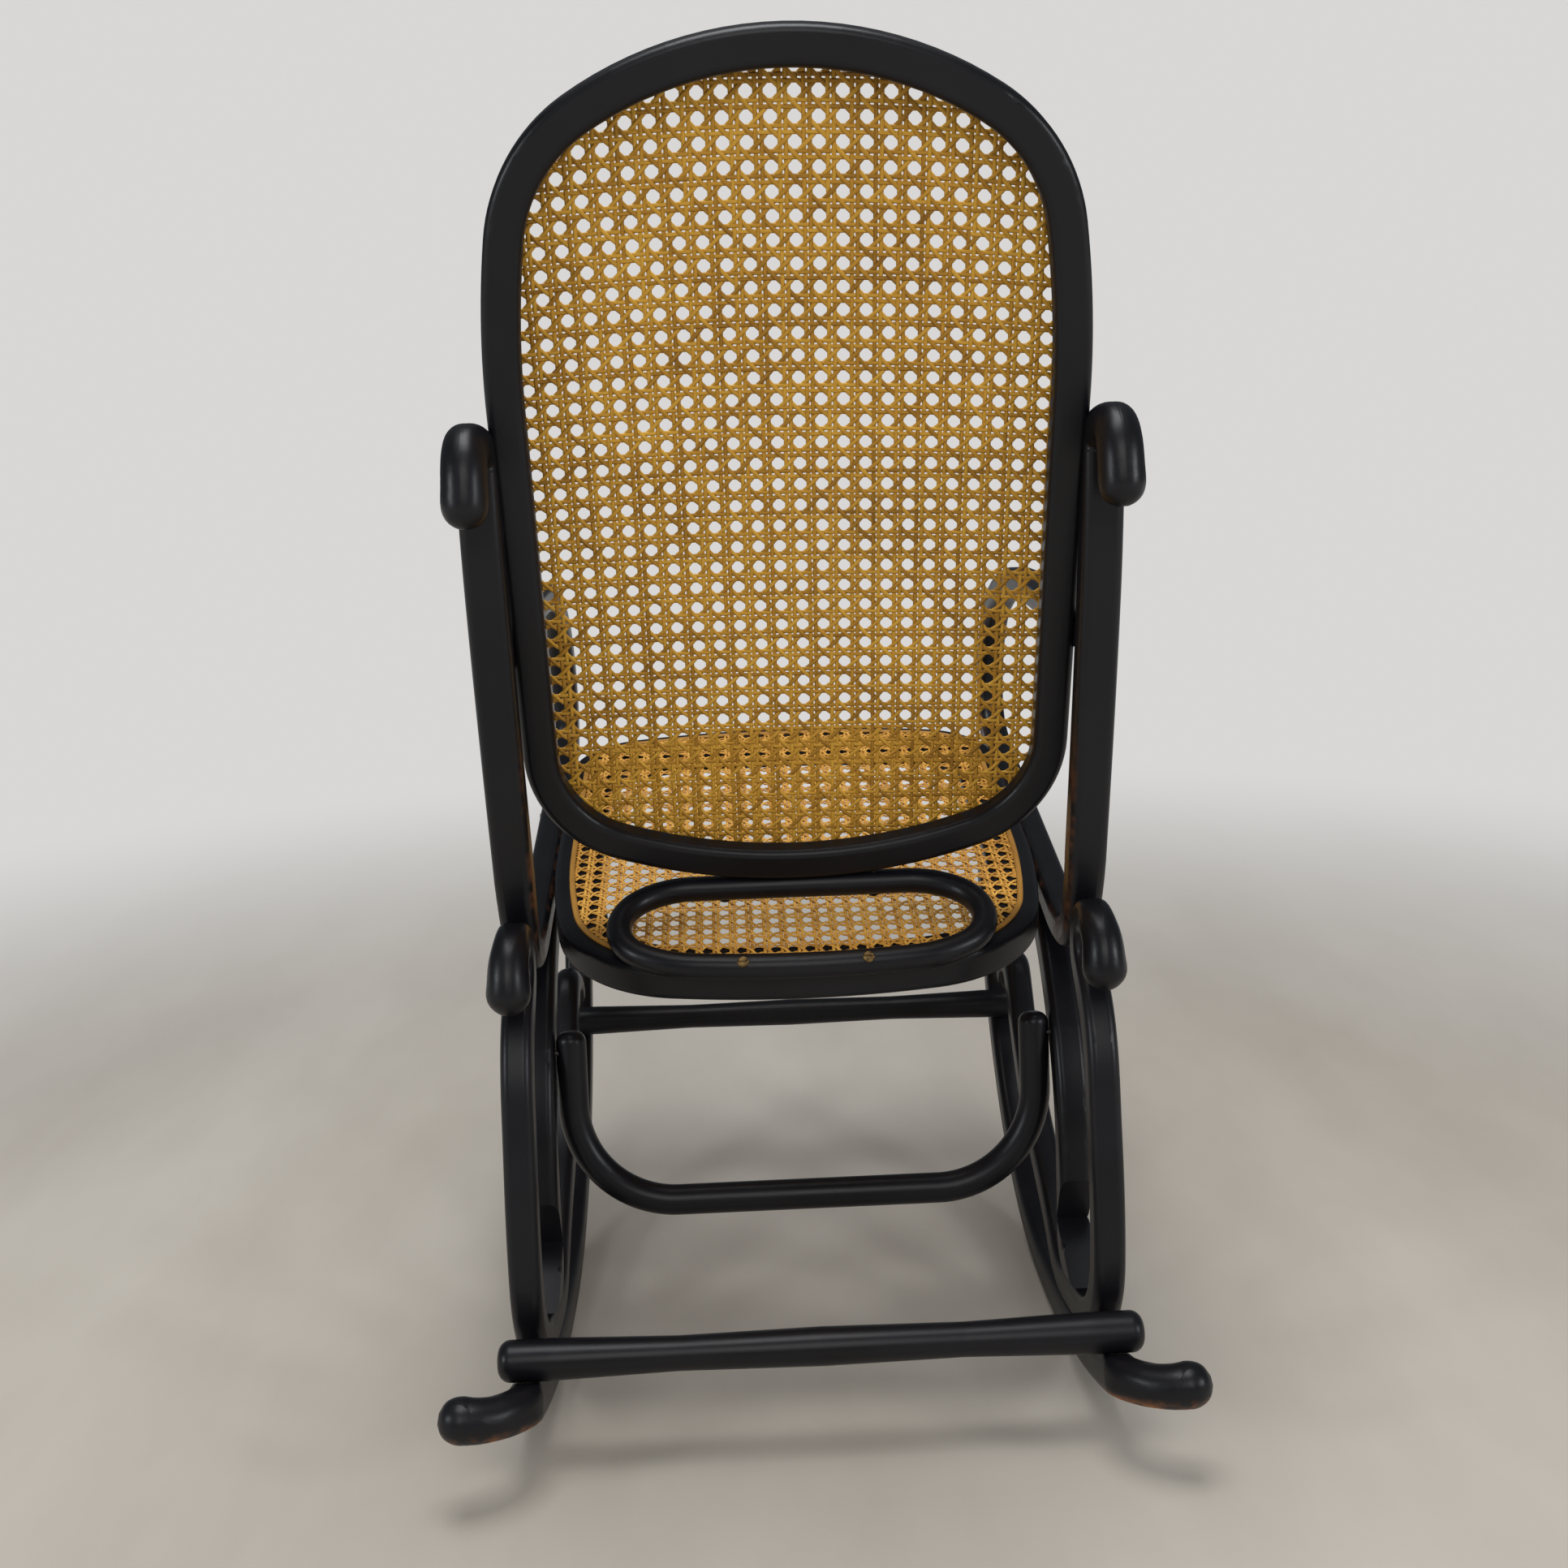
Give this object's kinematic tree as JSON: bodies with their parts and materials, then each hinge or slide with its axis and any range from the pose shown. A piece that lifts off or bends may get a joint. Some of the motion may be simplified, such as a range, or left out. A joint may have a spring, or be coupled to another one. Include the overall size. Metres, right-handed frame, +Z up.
{
  "type": "rocking chair",
  "caption": "Bentwood rocking chair with looped side frames that form arms and rockers, curled rod ends, and a woven cane seat and tall arched cane back",
  "frame": {"origin": "on the floor under the middle of the chair's bounding box", "axes": "+X to the sitter's left, +Y towards the back of the chair, +Z up; the chair's middle plane is X = 0"},
  "size_m": [0.553, 0.6825, 1.0047],
  "materials": {
    "painted_wood": "satin black paint, worn at the edges",
    "cane": "woven natural cane",
    "binder_cane": "natural cane strip",
    "dark_steel": "painted over",
    "brass": "dull"
  },
  "bodies": {
    "root": {"left_arm": "painted_wood", "right_arm": "painted_wood", "left_runner": "painted_wood", "right_runner": "painted_wood", "left_scroll": "painted_wood", "right_scroll": "painted_wood", "seat_frame": "painted_wood", "back_frame": "painted_wood", "rear_stretcher": "painted_wood", "front_stretcher": "painted_wood", "hoop_brace": "painted_wood", "back_support_loop": "painted_wood", "armrest_dowels": "painted_wood", "seat_cane": "cane", "back_cane": "cane", "seat_binder": "binder_cane", "back_binder": "binder_cane", "back_bolts": "dark_steel", "seat_screws": "dark_steel", "arm_screws": "dark_steel", "scroll_screws": "dark_steel", "foot_screws": "dark_steel", "rear_stretcher_screws": "dark_steel", "front_stretcher_screws": "dark_steel", "hoop_screws": "dark_steel", "loop_top_screws": "dark_steel", "loop_screws": "brass"}
  },
  "joints": []
}
